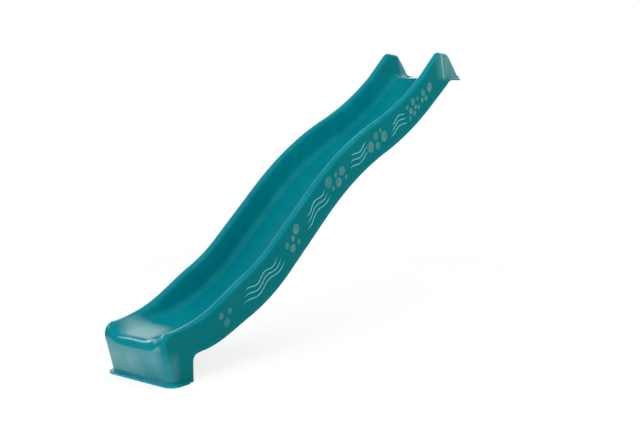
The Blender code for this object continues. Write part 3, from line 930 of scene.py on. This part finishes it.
# relief on the outer walls: places are given along the wall, from the foot, and across it,
# from -1 at the lip to 1 below the rim
relief = dict(
    firstStation=12.0,
    lastStation=42.5,
    topMargin=0.030,
    bottomMargin=0.006,
    spotHeight=0.0013,
    spotEdge=0.45,  # share of a spot's radius that rounds down to the wall
    spotRoot=0.0012,  # how deep a spot stands in the wall
    smallest=0.030,  # a spot's width, which a draw adds up to spotRange to
    spotRange=0.062,
    spotSkew=1.6,  # above 1, small spots are the more common
    spotGap=0.006,
    spotBand=0.55,  # how far from the middle of the wall a spot may stand
    seed=23,
    tries=60,
    rippleHeight=0.0020,
    rippleWidth=0.0058,
    rippleStep=0.006,
    wavesPerMetre=5.0,
    swing=0.15,
    lineStep=0.020,  # each line of a group starts this much further up
    lineShorter=0.10,  # and is shorter by this share
    # groups of bubbles: how far up the wall, how many, how far spread
    bubbles=[(0.14, 3, 0.05), (0.78, 5, 0.07), (1.30, 7, 0.09), (1.76, 11, 0.11), (2.29, 14, 0.16)],
    lines=3,
    # groups of waves: start, length, gap across, phase
    waves=[(0.26, 0.40, 0.38, 0.10), (0.90, 0.28, 0.40, 0.60), (1.43, 0.21, 0.40, 0.20),
           (1.90, 0.21, 0.40, 0.70)],
)

wallRows = (stations >= relief["firstStation"]) & (stations <= relief["lastStation"])
wallTop, wallRoot = slideEdges[3, wallRows], slideEdges[4, wallRows]
wallDown = unit(wallRoot - wallTop)
wallTop = wallTop + wallDown * relief["topMargin"]
wallRoot = wallRoot - wallDown * relief["bottomMargin"]
wallMiddle = (wallTop + wallRoot) / 2
wallAcross = (wallTop - wallRoot) / 2
wallLength = lengthAlong(wallMiddle)


def onWall(along, across):
    # x and z of places on the outer wall
    middle = [np.interp(along, wallLength, wallMiddle[:, k]) for k in (0, 2)]
    reach = [np.interp(along, wallLength, wallAcross[:, k]) for k in (0, 2)]
    return np.stack([middle[k] + across * reach[k] for k in (0, 1)], axis=-1)


def spotPatch(centre, size, turn, s):
    # a flat-topped oval: its height is h (1 - e^2), where e runs from 0 to 1 over its edge
    steps = 40
    rings = np.array([0.0, 0.30, 1.0 - s["spotEdge"], 0.64, 0.74, 0.84, 0.93, 1.0])
    angle = np.arange(steps)[:, None] * 2.0 * pi / steps
    edge = np.clip((rings - 1.0 + s["spotEdge"]) / s["spotEdge"], 0.0, 1.0)
    height = np.append(s["spotHeight"] * (1.0 - edge ** 2) - 0.0002, [-s["spotRoot"], -s["spotRoot"]])
    rings = np.append(rings, [1.0, 0.0])
    wide = size[0] / 2 * rings * np.cos(angle)
    tall = size[1] / 2 * rings * np.sin(angle)
    x = centre[0] + wide * cos(turn) - tall * sin(turn)
    z = centre[1] + wide * sin(turn) + tall * cos(turn)
    points = np.stack([x, height + 0.0 * x, z], axis=-1)
    return points, roundFaces(steps, len(rings))


def ripple(start, end, waves, middle, phase, s):
    # a half-round bead along across = middle + swing sin(waves), which thins away at both ends
    count, around = max(int((end - start) / s["rippleStep"]), 24), 12
    share = np.linspace(0.0, 1.0, count)
    across = middle + s["swing"] * np.sin(2.0 * pi * (waves * share + phase))
    path = onWall(start + (end - start) * share, across)
    heading = unit(np.gradient(path, axis=0))
    aside = np.stack([-heading[:, 1], heading[:, 0]], axis=1)
    thin = smooth(np.minimum(share, 1.0 - share) * 6.0) * 0.85 + 0.15
    turn = np.linspace(0.0, 2.0 * pi, around + 1)[:-1][:, None]
    out = s["rippleHeight"] * thin * np.sin(turn)
    out = np.where(out < 0.0, out * 0.5, out) - 0.0001
    sideways = s["rippleWidth"] / 2 * thin * np.cos(turn)
    x = path[:, 0] + sideways * aside[:, 0]
    z = path[:, 1] + sideways * aside[:, 1]
    points = np.stack([x, out + 0.0 * x, z], axis=-1)
    caps = points.mean(axis=0, keepdims=True)[:, [0, -1]] * np.ones((around, 1, 1))
    points = np.concatenate([caps[:, :1], points, caps[:, 1:]], axis=1)
    return points, roundFaces(around, count + 2)


def onSide(name, patches, side):
    # gathers patches into one mesh on the left or right outer wall, facing out
    points, faces, first = [], [], 0
    for patch, around in patches:
        place = patch.reshape(-1, 3).copy()
        place[:, 1] = side * (slide["outerHalfWidth"] + place[:, 1])
        points.append(place)
        faces.append(around + first)
        first += len(place)
    return merged(name, np.concatenate(points), np.concatenate(faces), turnOut=True)


def spots(s):
    # bubbles in groups, denser up the slide; sizes and places come from one seeded draw
    draw = np.random.default_rng(s["seed"])
    places = []
    for along, count, spreadOut in s["bubbles"]:
        for _ in range(count * s["tries"]):
            if count == 0:
                break
            here = along + draw.uniform(-spreadOut, spreadOut)
            spot = onWall(np.array(here), np.array(draw.uniform(-s["spotBand"], s["spotBand"])))
            size = s["smallest"] + s["spotRange"] * draw.uniform() ** s["spotSkew"]
            if all(np.hypot(*(spot - other)) > 0.5 * (size + wide) + s["spotGap"] for other, wide in places):
                places.append((spot, size))
                count -= 1
                yield spotPatch(spot, (size, size * draw.uniform(0.90, 1.0)), draw.uniform(0.0, 3.0), s)


def waveLines(s):
    # each group is a few like waves, one above the other, their ends stepped along the wall
    for start, length, gap, phase in s["waves"]:
        for line in range(s["lines"]):
            first = start + s["lineStep"] * line
            last = first + length * (1.0 - s["lineShorter"] * line)
            middle = gap * (line - (s["lines"] - 1) / 2)
            yield ripple(first, last, s["wavesPerMetre"] * length, middle, phase, s)


spotPatches, ripplePatches = list(spots(relief)), list(waveLines(relief))
for side, word in sides:
    for name, patches, finish in (("spots_", spotPatches, satinTeal),
                                  ("ripples_", ripplePatches, rippleHighlightTeal)):
        newPiece(name + word, onSide(name + word, patches, side), finish, "moulded_plastic")
print("relief made", len(spotPatches), len(ripplePatches))

studio = dict(
    cameraAt=(-4.60722, -3.59338, 1.45532),
    cameraTurn=-0.920252,
    cameraDown=0.128704,
    lens=55.074,
    floorTone=0.88,
    floorNear=0.80,  # how far the floor goes to white near the slide
    floorFade=(1.8, 3.6),
    evenLight=0.70,
    backdrop=1.2,  # a pale sheet behind the slide, seen in gloss only
    backdropEdge=(0.40, 0.80),
    backdropTop=(0.64, 0.46),
    dim=0.03,
    footGlow=1.40,  # a pale patch of floor beside the foot, seen in gloss only
    footGlowAt=(-1.80, 0.42),
    footGlowEdge=(0.30, 0.68),
)


def placeCamera(s):
    # the photograph's view: turned about the upright axis, then tipped down
    data = bpy.data.cameras.new("photoView")
    data.sensor_width = 36.0
    data.lens = s["lens"]
    data.clip_end = 100.0
    camera = scene.camera = inScene("photoView", data)
    camera.location = s["cameraAt"]
    camera.rotation_euler = (pi / 2 - s["cameraDown"], 0.0, s["cameraTurn"])


placeCamera(studio)

floorMesh = meshFrom("floor", [(-40, -40, 0), (40, -40, 0), (40, 40, 0), (-40, 40, 0)], [(0, 1, 2, 3)])
floor = inScene("floor", floorMesh)


def glow(like, kind, strength):
    return newNode(like, kind, Color=(1.0, 1.0, 1.0), Strength=strength).outputs[0]


def mixedShader(share, first, second):
    made = newNode(share, "MixShader", Fac=share)
    given(made.inputs[1], first)
    given(made.inputs[2], second)
    return made.outputs["Shader"]


def awayFrom(x, y, place):
    # distance on the ground from a place
    dx, dy = maths("SUBTRACT", x, place[0]), maths("SUBTRACT", y, place[1])
    return maths("POWER", plus(times(dx, dx), times(dy, dy)), 0.5)


def backwards(x, y):
    # how far a place or a direction lies behind the slide, on the camera's far side
    return plus(times(x, 0.8), times(y, 0.6))


def raysOf(like):
    # rays that show the thing itself, and rays that show it in gloss
    path = newNode(like, "LightPath")
    straight = maths("MAXIMUM", path.outputs["Is Camera Ray"], path.outputs["Is Transmission Ray"])
    return straight, path.outputs["Is Glossy Ray"]


def paleFloor(s):
    # paper that the camera sees as white, with the shadow kept; in gloss it is bright round the
    # foot and behind the slide, and dim elsewhere
    made, shader, point = nodesOf("paleFloor")
    shader.inputs["Roughness"].default_value = 0.9
    shader.inputs["Specular IOR Level"].default_value = 0.1
    tone = s["floorTone"]
    given(shader.inputs["Base Color"], blended(noise(point, 3.0, 2.0), (tone,) * 3, (tone + 0.02,) * 3))
    x, y, _ = axesOf(point)
    straight, inGloss = raysOf(point)
    fromSlide = awayFrom(x, y, (0.0, 0.0))
    whiter = spanned(fromSlide, *s["floorFade"], s["floorNear"], 1.0)
    paper = mixedShader(times(straight, whiter), shader.outputs["BSDF"], glow(point, "Emission", 1.0))
    behind = maths("DIVIDE", backwards(x, y), plus(fromSlide, 0.5))
    behind = spanned(behind, *s["backdropEdge"], s["dim"], s["backdrop"])
    nearFoot = spanned(awayFrom(x, y, s["footGlowAt"]), *s["footGlowEdge"], s["footGlow"], 0.0)
    shine = glow(point, "Emission", maths("MAXIMUM", behind, nearFoot))
    surface = made.node_tree.nodes["Material Output"].inputs["Surface"]
    given(surface, mixedShader(inGloss, paper, shine))
    return made


floorMesh.materials.append(paleFloor(studio))


def studioWorld(s):
    # white to the camera, in gloss a pale backdrop and a dim room, and even light otherwise
    world = scene.world = bpy.data.worlds.new("studio")
    world.use_nodes = True
    tree = world.node_tree
    tree.nodes.clear()
    out = tree.nodes.new("ShaderNodeOutputWorld")
    where = tree.nodes.new("ShaderNodeTexCoord")
    x, y, z = axesOf(where.outputs["Generated"])
    sheet = times(spanned(backwards(x, y), *s["backdropEdge"]), spanned(z, *s["backdropTop"]))
    shine = plus(times(sheet, s["backdrop"]), s["dim"])
    straight, inGloss = raysOf(x)
    even, lit = glow(x, "Background", s["evenLight"]), glow(x, "Background", shine)
    light = mixedShader(straight, mixedShader(inGloss, even, lit), glow(x, "Background", 1.0))
    given(out.inputs["Surface"], light)


studioWorld(studio)


def softLamp(name, place, aim, size, power, colour=(1.0, 1.0, 1.0), inGloss=True, inDiffuse=True):
    # a rectangle of light; panels stay out of gloss, and the strip is seen in gloss alone
    data = bpy.data.lights.new(name, "AREA")
    data.shape = "RECTANGLE"
    data.size, data.size_y = size
    data.energy = power
    data.color = colour
    lamp = inScene(name, data)
    lamp.location = place
    lamp.rotation_euler = (Vector(aim) - Vector(place)).to_track_quat("-Z", "Y").to_euler()
    lamp.visible_glossy = inGloss
    lamp.visible_diffuse = inDiffuse


softLamp("topPanel", (-0.3, 0.3, 4.2), (0.0, 0.0, 0.6), (6.0, 5.0), 122.0, inGloss=False)
softLamp("frontPanel", (-4.2, -0.6, 1.6), (-1.2, 0.0, 0.2), (1.6, 2.2), 50.0, inGloss=False)
softLamp("earPanel", (0.4, -2.6, 2.8), (1.25, 0.0, 1.6), (1.0, 1.0), 40.0, inGloss=False)
softLamp("noseStrip", (-2.1, 2.3, 2.3), (-1.35, 0.0, 0.2), (3.4, 0.2), 22.0, (0.90, 0.96, 1.0),
         inDiffuse=False)

scene.view_settings.view_transform = "Standard"
print("studio set")
